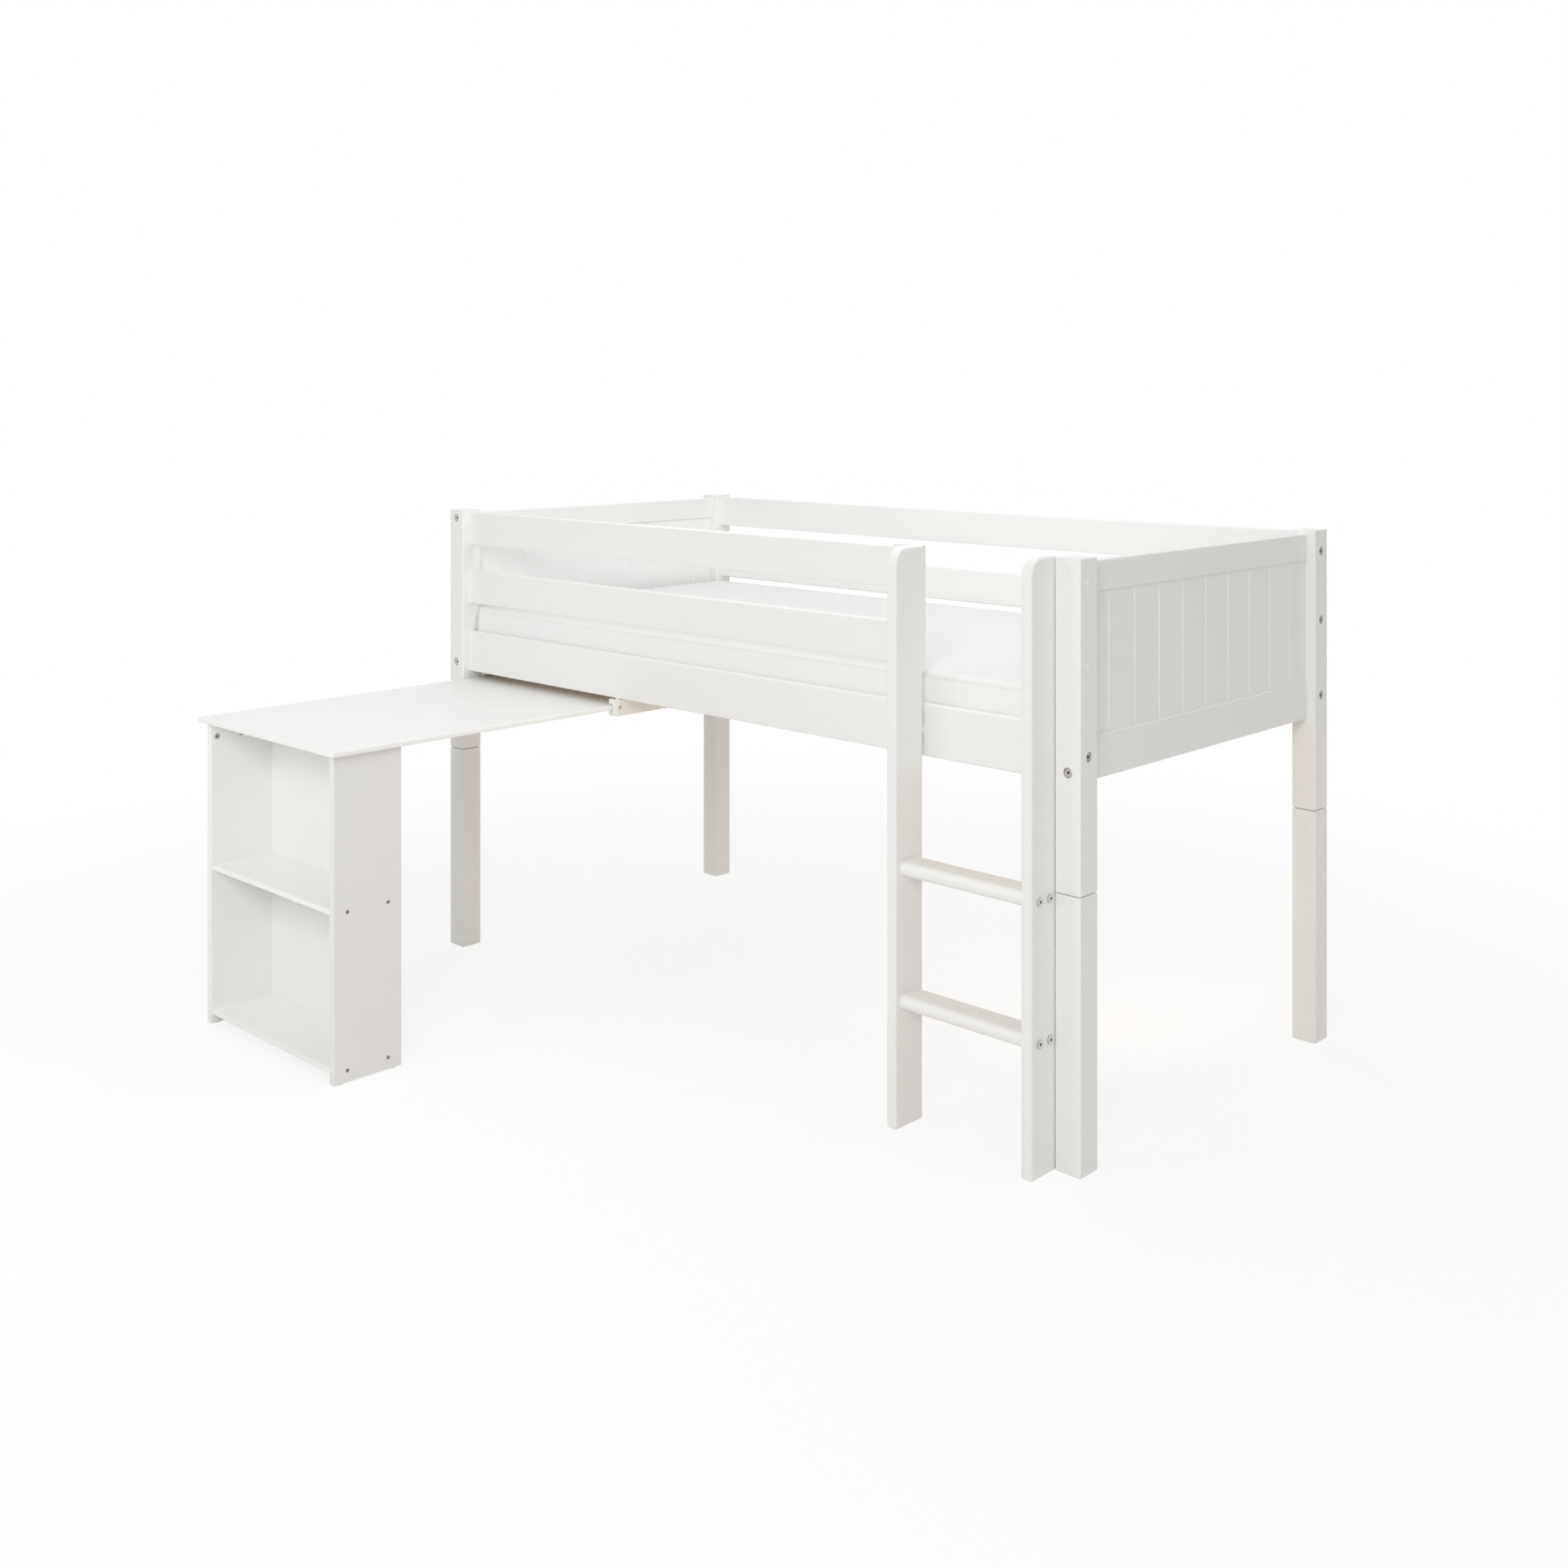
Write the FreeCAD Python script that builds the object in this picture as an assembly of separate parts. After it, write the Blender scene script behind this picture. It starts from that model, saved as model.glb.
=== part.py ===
import FreeCAD, Part
import math
import os

# Mid-high loft bed of lacquered wood with a straight ladder and a pull-out desk.
# Millimetres. +X runs along the bed to the end beside the ladder, -Y is the front, +Z is up.
# The origin lies on the floor, in the middle of the plan with the desk pulled out.

# Bed frame
bed_length = 2088.0
bed_width = 1029.0
post_side = 60.0
post_round = 3.5
post_top_round = 1.5
post_end_round = 3.0
leg_height = 547.0
leg_joint_gap = 1.5
leg_neck_inset = 8.0
post_overtop = 5.0

# Rails, all on the centre line of the posts
board_thick = 18.0
board_round = 4.0
rail_bottom = 761.0
side_rail_height = 111.0
low_guard_gap = 77.0
high_guard_gap = 72.0
guard_height = 90.0
end_bottom_height = 88.0
end_top_height = 63.0
end_top_drop = 9.0

# Tongue-and-groove end panels
panel_thick = 8.0
panel_tongue = 8.0
slot_side_gap = 0.3
slot_end_gap = 0.6
groove_pitch = 94.3
groove_width = 6.0
groove_depth = 2.6
groove_edge_margin = 30.0

# Connector bolts, nuts, dowels and caps
bolt_diameter = 6.0
bolt_head_diameter = 19.0
bolt_head_thick = 3.0
bolt_head_round = 0.8
bolt_socket = 5.0
bolt_socket_depth = 2.2
head_recess = 5.5
head_side_gap = 1.0
bolt_tip = 3.0
nut_diameter = 10.0
nut_length = 14.0
insert_nut_diameter = 10.0
insert_nut_length = 25.0
dowel_diameter = 8.0
dowel_length = 40.0
dowel_offset = 30.0
end_top_bolt_drop = 13.0
end_bottom_bolt_rise = 25.0
hole_gap = 0.2
capped_head_diameter = 10.0
capped_head_recess = 9.0
cap_diameter = 13.5
cap_proud = 1.6
cap_round = 1.2
cap_plug = 4.0

# Leg joint
stud_diameter = 10.0
stud_length = 120.0
leg_nut_diameter = 14.0
leg_nut_length = 30.0
leg_nut_offset = 44.0
leg_cap_diameter = 18.0

# Slat base and mattress
ledger_height = 24.0
ledger_depth = 25.0
ledger_rise = 3.0
ledger_end_gap = 6.0
ledger_screw_count = 4
slat_count = 13
slat_width = 70.0
slat_thick = 18.0
slat_end_gap = 5.0
slat_post_gap = 10.0
screw_diameter = 4.0
screw_head_diameter = 8.0
screw_head_depth = 2.4
screw_socket = 3.0
screw_socket_depth = 2.0
screw_length = 32.0
mattress_end_gap = 3.0
mattress_side_gap = 3.0
mattress_edge_height = 131.0
mattress_crown = 3.0
mattress_side_bulge = 4.0
mattress_end_round = 15.0
seat_gap = 0.3

# Ladder
stringer_thick = 26.0
stringer_depth = 85.0
stringer_rise = 1.0
stringer_top_radius = 35.0
stringer_round = 5.0
stringer_foot_chamfer = 2.0
stringer_post_gap = 1.5
ladder_clear_width = 316.5
lowest_rung_height = 261.0
rung_pitch = 277.0
rung_count = 2
rung_depth = 64.0
rung_thick = 30.0
rung_front_round = 14.0
rung_back_round = 4.0
rung_setback = 12.0
rung_bolt_inset = 14.4
rung_nut_inset = 32.0
rung_nut_length = 20.0
rung_head_diameter = 18.0
rung_head_round = 1.8
stringer_nut_inset = 30.0
spacer_diameter = 20.0
right_mount_low = -15.0
right_mount_high = 26.0

# Guard end cleat
cleat_thick = 12.0
cleat_width = 80.0
cleat_tail = 6.0
guard_end_inset = 20.0
guard_screw_inset = 22.0
guard_screw_spread = 25.0

# Desk and bookcase
desk_reach = 781.0
desk_tail = 179.0
desk_width = 608.0
desk_thick = 12.0
desk_round = 3.0
desk_post_gap = 2.0
desk_rail_gap = 19.5
case_overhang = 20.0
case_front_setback = 15.0
case_depth = 175.0
case_board = 18.0
case_round = 1.5
case_back_thick = 12.0
shelf_thick = 12.0
shelf_setback = 5.0
bottom_shelf_height = 22.0
middle_shelf_height = 373.0
case_screw_inset = 35.0
case_screw_length = 45.0
case_screw_diameter = 6.0
case_screw_head_diameter = 10.0
case_screw_head_depth = 3.0
case_screw_socket = 5.0
case_screw_socket_depth = 2.8
cam_diameter = 15.0
cam_thick = 13.0
cam_socket = 6.0
cam_socket_depth = 3.0
cam_drop = 34.0
cam_front_inset = 16.0
cam_pitch = 65.0
cam_bolt_diameter = 6.0
cam_bolt_bite = 9.0
pad_diameter = 16.0
pad_thick = 2.0
pad_inset = 20.0

# Desk runners
runner_height = 41.0
runner_groove_depth = 14.0
runner_web = 17.0
runner_side_gap = 1.0
groove_under_gap = 0.4
groove_over_gap = 3.0
runner_proud = 2.0
runner_post_gap = 1.0
runner_spacer_height = 4.0
runner_spacer_diameter = 12.0
runner_nut_height = 22.0
runner_nut_length = 12.0
hanger_bite = 40.0
left_hanger_inset = 60.0

# Slack for picking edges by their place
pick_slack = 0.1

AXIS_X = FreeCAD.Vector(1, 0, 0)
AXIS_Y = FreeCAD.Vector(0, 1, 0)
AXIS_Z = FreeCAD.Vector(0, 0, 1)

# Places worked out from the sizes above
x_left = -bed_length / 2
x_right = bed_length / 2
y_front = (desk_reach - bed_width) / 2
y_rear = y_front + bed_width
post_axis = post_side / 2
half_board = board_thick / 2
low_guard_bottom = rail_bottom + side_rail_height + low_guard_gap
high_guard_bottom = low_guard_bottom + guard_height + high_guard_gap
bed_height = high_guard_bottom + guard_height + post_overtop
end_top_bottom = bed_height - end_top_drop - end_top_height
end_bottom_top = rail_bottom + end_bottom_height
y_front_rail = y_front + post_axis
y_rear_rail = y_rear - post_axis
mattress_length = bed_length - 2 * (post_side + mattress_end_gap)
mattress_width = bed_width - 2 * (post_axis + half_board + mattress_side_gap)
ledger_top = rail_bottom + ledger_rise + ledger_height
slat_top = ledger_top + slat_thick
hole_diameter = bolt_diameter + 2 * hole_gap
wood_screw = (screw_diameter, screw_head_diameter, screw_head_depth, screw_socket, screw_socket_depth)
case_screw = (case_screw_diameter, case_screw_head_diameter, case_screw_head_depth, case_screw_socket,
              case_screw_socket_depth)

stringer_back = y_front_rail - half_board - cleat_thick
stringer_front = stringer_back - stringer_depth
stringer_top = bed_height + stringer_rise
right_stringer_x = x_right - post_side - stringer_post_gap - stringer_thick
left_stringer_x = right_stringer_x - ladder_clear_width - stringer_thick
cleat_right = left_stringer_x + stringer_thick

desk_left = x_left + post_side + desk_post_gap
desk_right = desk_left + desk_width
desk_front = y_front - desk_reach
desk_top_height = rail_bottom - desk_rail_gap
desk_underside = desk_top_height - desk_thick
case_left = desk_left + case_overhang
case_right = desk_right - case_overhang
case_front = desk_front + case_front_setback
case_rear = case_front + case_depth
runner_top = rail_bottom - runner_spacer_height

# One entry per corner: name, x of the outer face, y of the outer face, inward direction in x and in y
corners = (
    ("front_left", x_left, y_front, 1, 1),
    ("front_right", x_right, y_front, -1, 1),
    ("rear_left", x_left, y_rear, 1, -1),
    ("rear_right", x_right, y_rear, -1, -1),
)


class Assembly:
    """Collects the solids of each node and the holes that go through it."""

    def __init__(self):
        self.solids = {}
        self.holes = {}

    def add(self, node, *solids):
        self.solids.setdefault(node, []).extend(solids)

    def drill(self, node, *tools):
        self.holes.setdefault(node, []).extend(tools)

    def export(self):
        """Write one STEP file per node."""
        os.makedirs("parts", exist_ok=True)
        for node, solids in self.solids.items():
            tools = self.holes.get(node, [])
            pieces = [solid.cut(tools) if tools else solid for solid in solids]
            pieces = [single for piece in pieces for single in piece.Solids]
            shape = pieces[0] if len(pieces) == 1 else Part.makeCompound(pieces)
            shape.exportStep("parts/" + node + ".step")
            print(node, len(pieces), round(shape.Volume / 1000.0, 1), "cm3")


bed = Assembly()


def point(x, y, z):
    return FreeCAD.Vector(x, y, z)


def span(start, length):
    return (min(start, start + length), max(start, start + length))


def centred(middle, length):
    return (middle - length / 2, middle + length / 2)


def box(xs, ys, zs):
    return Part.makeBox(xs[1] - xs[0], ys[1] - ys[0], zs[1] - zs[0], point(xs[0], ys[0], zs[0]))


def edges_along(solid, axis):
    """Straight edges of a box-like solid that run along one axis."""
    return [e for e in solid.Edges if abs(e.tangentAt(e.FirstParameter).dot(axis)) > 0.999]


def board(xs, ys, zs, along, radius):
    """Plank with its four long edges rounded."""
    blank = box(xs, ys, zs)
    return blank.makeFillet(radius, edges_along(blank, along))


def rod(start, direction, length, diameter):
    return Part.makeCylinder(diameter / 2, length, start, direction)


def hexagon_bar(start, direction, length, across_flats):
    side = AXIS_X if abs(direction.dot(AXIS_Z)) > 0.5 else AXIS_Z
    other = direction.cross(side)
    radius = across_flats / math.sqrt(3)
    angles = [math.radians(60 * step) for step in range(7)]
    ring = [start + side * (radius * math.cos(a)) + other * (radius * math.sin(a)) for a in angles]
    return Part.Face(Part.makePolygon(ring)).extrude(direction * length)


def domed_disc(face, outward, thickness, diameter, radius):
    """Disc that stands on a face, with its outer rim rounded."""
    blank = rod(face, outward, thickness, diameter)
    rim = [e for e in blank.Edges if e.isClosed() and (e.CenterOfMass - face).dot(outward) > thickness / 2]
    return blank.makeFillet(radius, rim)


def bolt(seat, into, length, head_diameter=bolt_head_diameter, head_round=bolt_head_round):
    """Socket bolt whose head bears on the seat point."""
    head = domed_disc(seat, -into, bolt_head_thick, head_diameter, head_round)
    shank = rod(seat, into, length, bolt_diameter)
    socket = hexagon_bar(seat - into * bolt_head_thick, into, bolt_socket_depth, bolt_socket)
    return head.fuse(shank).removeSplitter().cut(socket)


def bolt_bore(seat, into, length, head_diameter=bolt_head_diameter, recess=head_recess):
    """Clearance hole for a bolt with a flat counterbore for its head."""
    hole = rod(seat, into, length + hole_gap, hole_diameter)
    counterbore = rod(seat - into * 2 * recess, into, 2 * recess, head_diameter + 2 * head_side_gap)
    return hole.fuse(counterbore)


def cap(face, outward, plug_diameter, diameter):
    """Domed plastic cap whose plug fills the mouth of a hole."""
    plug = rod(face - outward * cap_plug, outward, cap_plug, plug_diameter)
    return plug.fuse(domed_disc(face, outward, cap_proud, diameter, cap_round)).removeSplitter()


def barrel_nut(middle, axis, length, bolt_direction):
    barrel = rod(middle - axis * (length / 2), axis, length, nut_diameter)
    hole = rod(middle - bolt_direction * nut_diameter, bolt_direction, 2 * nut_diameter, hole_diameter)
    return barrel.cut(hole)


def nut_bore(middle, axis, length, reach):
    """Blind hole that holds a barrel nut and opens along the axis, reach from the nut's middle."""
    floor = length / 2 + hole_gap
    return rod(middle - axis * floor, axis, floor + reach, nut_diameter + 2 * hole_gap)


def screw(size, seat, into, length):
    """Countersunk socket screw with its head flush with the seat point."""
    diameter, head_diameter, head_depth, socket, socket_depth = size
    head = Part.makeCone(head_diameter / 2, diameter / 2, head_depth, seat, into)
    whole = head.fuse(rod(seat, into, length, diameter)).removeSplitter()
    return whole.cut(hexagon_bar(seat, into, socket_depth, socket))


def screw_bore(size, seat, into, length):
    diameter, head_diameter, head_depth = size[:3]
    head = Part.makeCone(head_diameter / 2 + hole_gap, diameter / 2 + hole_gap, head_depth, seat, into)
    return head.fuse(rod(seat, into, length + hole_gap, diameter + 2 * hole_gap))


def drive_screws(node, through, size, seats, into, length):
    """Screws of one node at several seats, with their holes in the boards they pass through."""
    for seat in seats:
        bed.add(node, screw(size, seat, into, length))
        for board_node in through:
            bed.drill(board_node, screw_bore(size, seat, into, length))


def bolted_corner(bolt_node, post, rail, face, into, dowel_shift, capped=False):
    """Bolt, threaded insert and dowel that hold a rail's end against a post.

    face is the bolt's point on the post's outer face and into points to the rail. A capped bolt has
    a small head, sunk deeper so that a cap closes its hole.
    """
    head = capped_head_diameter if capped else bolt_head_diameter
    recess = capped_head_recess if capped else head_recess
    seat = face + into * recess
    rail_end = face + into * post_side
    length = post_side - recess + insert_nut_length + bolt_tip
    insert = rod(rail_end, into, insert_nut_length, insert_nut_diameter)
    dowel_middle = rail_end + AXIS_Z * dowel_shift
    dowel_hole = dowel_length + 2 * hole_gap
    bed.add(bolt_node, bolt(seat, into, length, head))
    bed.add("insert_nuts", insert.cut(rod(rail_end, into, insert_nut_length, hole_diameter)))
    bed.add("rail_dowels", rod(dowel_middle - into * (dowel_length / 2), into, dowel_length, dowel_diameter))
    for node in (post, rail):
        bed.drill(node, bolt_bore(seat, into, length, head, recess))
        bed.drill(node, rod(dowel_middle - into * (dowel_hole / 2), into, dowel_hole,
                            dowel_diameter + 2 * hole_gap))
    bed.drill(rail, rod(rail_end, into, insert_nut_length + hole_gap, insert_nut_diameter + 2 * hole_gap))
    if capped:
        bed.add("bolt_caps", cap(face, -into, head + 2 * (head_side_gap - hole_gap), cap_diameter))


def rounded_post(xs, ys, zs, top_round):
    """Square post with rounded corners and softened ends."""
    blank = board(xs, ys, zs, AXIS_Z, post_round)
    for end, radius in ((zs[0], post_end_round), (zs[1], top_round)):
        rim = [e for e in blank.Edges if abs(e.BoundBox.ZMin - end) + abs(e.BoundBox.ZMax - end) < pick_slack]
        blank = blank.makeFillet(radius, rim)
    return blank


def posts_and_legs():
    for name, x, y, inward_x, inward_y in corners:
        xs = span(x, inward_x * post_side)
        ys = span(y, inward_y * post_side)
        post = "post_" + name
        leg = "leg_" + name
        bed.add(post, rounded_post(xs, ys, (leg_height, bed_height), post_top_round))
        shoulder = leg_height - leg_joint_gap
        neck_side = post_side - 2 * leg_neck_inset
        neck_xs = centred(x + inward_x * post_axis, neck_side)
        neck_ys = centred(y + inward_y * post_axis, neck_side)
        neck = box(neck_xs, neck_ys, (shoulder, leg_height))
        bed.add(leg, rounded_post(xs, ys, (0, shoulder), post_end_round).fuse(neck).removeSplitter())

        axis_x = x + inward_x * post_axis
        axis_y = y + inward_y * post_axis
        inward = AXIS_Y * inward_y
        stud_foot = point(axis_x, axis_y, leg_height - stud_length / 2)
        bed.add("leg_studs", rod(stud_foot, AXIS_Z, stud_length, stud_diameter))
        stud_hole = rod(stud_foot - AXIS_Z * hole_gap, AXIS_Z, stud_length + 2 * hole_gap,
                        stud_diameter + 2 * hole_gap)
        for node, side in ((post, 1), (leg, -1)):
            middle = point(axis_x, axis_y, leg_height + side * leg_nut_offset)
            barrel = rod(middle - inward * (leg_nut_length / 2), inward, leg_nut_length, leg_nut_diameter)
            bed.add("leg_nuts", barrel.cut(stud_hole))
            floor = leg_nut_length / 2 + hole_gap
            bed.drill(node, stud_hole)
            bed.drill(node, rod(middle - inward * floor, inward, floor + post_side,
                                leg_nut_diameter + 2 * hole_gap))
            bed.add("leg_caps", cap(middle + inward * post_axis, inward, leg_nut_diameter, leg_cap_diameter))


def grooved_panel(xs, ys, zs):
    """Panel of matched boards, with a V-groove on both faces at each board joint."""
    middle = (ys[0] + ys[1]) / 2
    each_way = int((ys[1] - middle - groove_edge_margin) // groove_pitch)
    joints = [middle + step * groove_pitch for step in range(-each_way, each_way + 1)]
    near_face = [(xs[0], ys[0])]
    far_face = [(xs[1], ys[0])]
    for y in joints:
        near_face += [(xs[0], y - groove_width / 2), (xs[0] + groove_depth, y), (xs[0], y + groove_width / 2)]
        far_face += [(xs[1], y - groove_width / 2), (xs[1] - groove_depth, y), (xs[1], y + groove_width / 2)]
    outline = near_face + [(xs[0], ys[1]), (xs[1], ys[1])] + far_face[::-1] + near_face[:1]
    wire = Part.makePolygon([point(x, y, zs[0]) for x, y in outline])
    return Part.Face(wire).extrude(AXIS_Z * (zs[1] - zs[0]))


def bed_end(side, x, inward_x):
    """Top rail, bottom rail and panel of one end, between its front and rear posts."""
    top_rail = side + "_end_top_rail"
    bottom_rail = side + "_end_bottom_rail"
    axis_x = x + inward_x * post_axis
    rail_xs = centred(axis_x, board_thick)
    rail_ys = (y_front + post_side, y_rear - post_side)
    top_zs = span(end_top_bottom, end_top_height)
    bottom_zs = span(rail_bottom, end_bottom_height)
    bed.add(top_rail, board(rail_xs, rail_ys, top_zs, AXIS_Y, board_round))
    bed.add(bottom_rail, board(rail_xs, rail_ys, bottom_zs, AXIS_Y, board_round))

    panel_ys = (rail_ys[0] - panel_tongue, rail_ys[1] + panel_tongue)
    panel_zs = (end_bottom_top - panel_tongue, end_top_bottom + panel_tongue)
    bed.add(side + "_end_panel", grooved_panel(centred(axis_x, panel_thick), panel_ys, panel_zs))
    slot = box(centred(axis_x, panel_thick + 2 * slot_side_gap),
               (panel_ys[0] - slot_end_gap, panel_ys[1] + slot_end_gap),
               (panel_zs[0], panel_zs[1] + slot_end_gap))
    for node in (top_rail, bottom_rail, "post_front_" + side, "post_rear_" + side):
        bed.drill(node, slot)

    top_bolt = bed_height - end_top_drop - end_top_bolt_drop
    bottom_bolt = rail_bottom + end_bottom_bolt_rise
    for depth, y, into in (("front", y_front, AXIS_Y), ("rear", y_rear, -AXIS_Y)):
        post = "post_" + depth + "_" + side
        top_face = point(axis_x, y, top_bolt)
        capped = post == "post_front_right"
        bolted_corner("end_bolts", post, top_rail, top_face, into, -dowel_offset, capped)
        bottom_face = point(axis_x, y, bottom_bolt)
        bolted_corner("end_bolts", post, bottom_rail, bottom_face, into, dowel_offset)


def long_rail(node, depth, y, bottom, height, right_end):
    """Rail along the bed, bolted to the left post and, unless right_end is given, to the right post too."""
    left_end = x_left + post_side
    stop = x_right - post_side if right_end is None else right_end
    bed.add(node, board((left_end, stop), centred(y, board_thick), span(bottom, height), AXIS_X, board_round))
    middle = bottom + height / 2
    ends = [("_left", x_left, AXIS_X)]
    if right_end is None:
        ends.append(("_right", x_right, -AXIS_X))
    for side, x, into in ends:
        face = point(x, y, middle)
        bolted_corner("rail_bolts", "post_" + depth + side, node, face, into, -dowel_offset)


def side_rails():
    guard_end = cleat_right - guard_end_inset
    long_rail("front_side_rail", "front", y_front_rail, rail_bottom, side_rail_height, None)
    long_rail("front_guard_low", "front", y_front_rail, low_guard_bottom, guard_height, guard_end)
    long_rail("front_guard_high", "front", y_front_rail, high_guard_bottom, guard_height, guard_end)
    long_rail("rear_side_rail", "rear", y_rear_rail, rail_bottom, side_rail_height, None)
    long_rail("rear_guard_low", "rear", y_rear_rail, low_guard_bottom, guard_height, None)
    long_rail("rear_guard_high", "rear", y_rear_rail, high_guard_bottom, guard_height, None)


def spare_holes():
    """Guard holes of the front right post, which the ladder leaves unused and caps close."""
    plug_diameter = capped_head_diameter + 2 * (head_side_gap - hole_gap)
    for bottom in (low_guard_bottom, high_guard_bottom):
        face = point(x_right, y_front_rail, bottom + guard_height / 2)
        seat = face - AXIS_X * capped_head_recess
        bore = bolt_bore(seat, -AXIS_X, post_side, capped_head_diameter, capped_head_recess)
        bed.drill("post_front_right", bore)
        bed.add("bolt_caps", cap(face, AXIS_X, plug_diameter, cap_diameter))


def guard_cleat():
    """Upright board behind the left stringer that the front guards are screwed to."""
    xs = span(cleat_right, -cleat_width)
    ys = span(stringer_back, cleat_thick)
    zs = (low_guard_bottom - cleat_tail, stringer_top)
    bed.add("guard_end_cleat", box(xs, ys, zs))
    inner_face = y_front_rail + half_board
    screw_x = cleat_right - guard_end_inset - guard_screw_inset
    length = board_thick + cleat_thick - bolt_tip
    for guard, bottom in (("front_guard_low", low_guard_bottom), ("front_guard_high", high_guard_bottom)):
        middle = bottom + guard_height / 2
        seats = [point(screw_x, inner_face, middle + step * guard_screw_spread) for step in (-1, 1)]
        drive_screws("guard_screws", (guard, "guard_end_cleat"), wood_screw, seats, -AXIS_Y, length)


def slat_base():
    """Ledgers along the side rails, the slats across them, and the screws of both."""
    first = x_left + post_side + slat_post_gap
    pitch = (bed_length - 2 * (post_side + slat_post_gap) - slat_width) / (slat_count - 1)
    slat_middles = [first + slat_width / 2 + n * pitch for n in range(slat_count)]
    gaps_per_screw = (slat_count - 1) / ledger_screw_count
    screw_gaps = [round((n + 0.5) * gaps_per_screw - 0.5) for n in range(ledger_screw_count)]
    gap_middles = [slat_middles[gap] + pitch / 2 for gap in screw_gaps]
    slat_ys = (y_front_rail + half_board + slat_end_gap, y_rear_rail - half_board - slat_end_gap)
    for x in slat_middles:
        bed.add("slats", box(centred(x, slat_width), slat_ys, (ledger_top, slat_top)))

    ledger_xs = (x_left + post_side + ledger_end_gap, x_right - post_side - ledger_end_gap)
    ledger_zs = (ledger_top - ledger_height, ledger_top)
    ledger_middle = ledger_top - ledger_height / 2
    for depth, rail_y, inward in (("front", y_front_rail, 1), ("rear", y_rear_rail, -1)):
        ledger = "slat_ledger_" + depth
        inner_face = rail_y + inward * half_board
        ledger_face = inner_face + inward * ledger_depth
        bed.add(ledger, box(ledger_xs, span(inner_face, inward * ledger_depth), ledger_zs))
        rail_seats = [point(x, ledger_face, ledger_middle) for x in gap_middles]
        through = (ledger, depth + "_side_rail")
        length = ledger_depth + half_board
        drive_screws("ledger_screws", through, wood_screw, rail_seats, AXIS_Y * -inward, length)
        slat_seats = [point(x, inner_face + inward * ledger_depth / 2, slat_top) for x in slat_middles]
        drive_screws("slat_screws", ("slats", ledger), wood_screw, slat_seats, -AXIS_Z, screw_length)


def mattress():
    """Box mattress: crowned top, sides drawn in to the seams, and ends rounded the same way."""
    bottom = slat_top + seat_gap
    middle_y = (y_front + y_rear) / 2

    def section(x, inset):
        half = mattress_width / 2 - inset
        seam = half - mattress_side_bulge
        low = bottom + inset
        high = bottom + mattress_edge_height - inset
        level = (low + high) / 2
        crown = high + mattress_crown - inset / 3
        corners_yz = ((-seam, low), (seam, low), (seam, high), (-seam, high))
        a, b, c, d = [point(x, middle_y + y, z) for y, z in corners_yz]
        right_side = Part.Arc(b, point(x, middle_y + half, level), c)
        top = Part.Arc(c, point(x, middle_y, crown), d)
        left_side = Part.Arc(d, point(x, middle_y - half, level), a)
        return Part.Wire([Part.makeLine(a, b), right_side.toShape(), top.toShape(), left_side.toShape()])

    half_length = mattress_length / 2
    shoulder = mattress_end_round * (1 - math.cos(math.radians(45)))
    stations = ((half_length, mattress_end_round), (half_length - shoulder, shoulder),
                (half_length - mattress_end_round, 0))
    profile = [(-x, inset) for x, inset in stations] + [(x, inset) for x, inset in stations[::-1]]
    sections = [section(x, inset) for x, inset in profile]
    bed.add("mattress", Part.makeLoft(sections, True, True))


def stringer(node, x):
    """Ladder upright with a rounded upper front corner, soft front and top edges and a chamfered foot."""
    top = stringer_top
    r = stringer_top_radius
    centre_y = stringer_front + r
    arc_middle = point(x, centre_y - r * math.sin(math.radians(45)), top - r + r * math.cos(math.radians(45)))
    foot_back = point(x, stringer_back, 0)
    top_back = point(x, stringer_back, top)
    arc_start = point(x, centre_y, top)
    arc_end = point(x, stringer_front, top - r)
    foot_front = point(x, stringer_front, 0)
    edges = [Part.makeLine(foot_back, top_back), Part.makeLine(top_back, arc_start),
             Part.Arc(arc_start, arc_middle, arc_end).toShape(),
             Part.makeLine(arc_end, foot_front), Part.makeLine(foot_front, foot_back)]
    blank = Part.Face(Part.Wire(edges)).extrude(AXIS_X * stringer_thick)
    soft = [e for e in blank.Edges if e.BoundBox.XLength < pick_slack and e.BoundBox.ZMax > pick_slack
            and e.BoundBox.YMin < stringer_back - pick_slack]
    blank = blank.makeFillet(stringer_round, soft)
    foot = [e for e in blank.Edges if e.BoundBox.ZMax < pick_slack]
    bed.add(node, blank.makeChamfer(stringer_foot_chamfer, foot))


def rung(node, height):
    """Tread with a round nose, a flat top and two bolts into each end."""
    front = stringer_front + rung_setback
    back = front + rung_depth
    left = left_stringer_x + stringer_thick
    right = right_stringer_x
    blank = box((left, right), (front, back), centred(height, rung_thick))
    long_edges = edges_along(blank, AXIS_X)
    nose = [e for e in long_edges if e.BoundBox.YMax < front + pick_slack]
    blank = blank.makeFillet(rung_front_round, nose)
    heel = [e for e in edges_along(blank, AXIS_X) if e.BoundBox.YMin > back - pick_slack]
    bed.add(node, blank.makeFillet(rung_back_round, heel))

    length = stringer_thick + rung_nut_inset + nut_diameter / 2 + bolt_tip
    ends = (("ladder_stringer_left", left - stringer_thick, AXIS_X),
            ("ladder_stringer_right", right + stringer_thick, -AXIS_X))
    for upright, face_x, into in ends:
        for y in (front + rung_bolt_inset, back - rung_bolt_inset):
            seat = point(face_x, y, height)
            nut_middle = seat + into * (stringer_thick + rung_nut_inset)
            hole = rod(seat, into, length + hole_gap, hole_diameter)
            bed.add("rung_bolts", bolt(seat, into, length, rung_head_diameter, rung_head_round))
            bed.add("rung_nuts", barrel_nut(nut_middle, -AXIS_Z, rung_nut_length, into))
            bed.drill(upright, hole)
            bed.drill(node, hole, nut_bore(nut_middle, -AXIS_Z, rung_nut_length, rung_thick))


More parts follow.
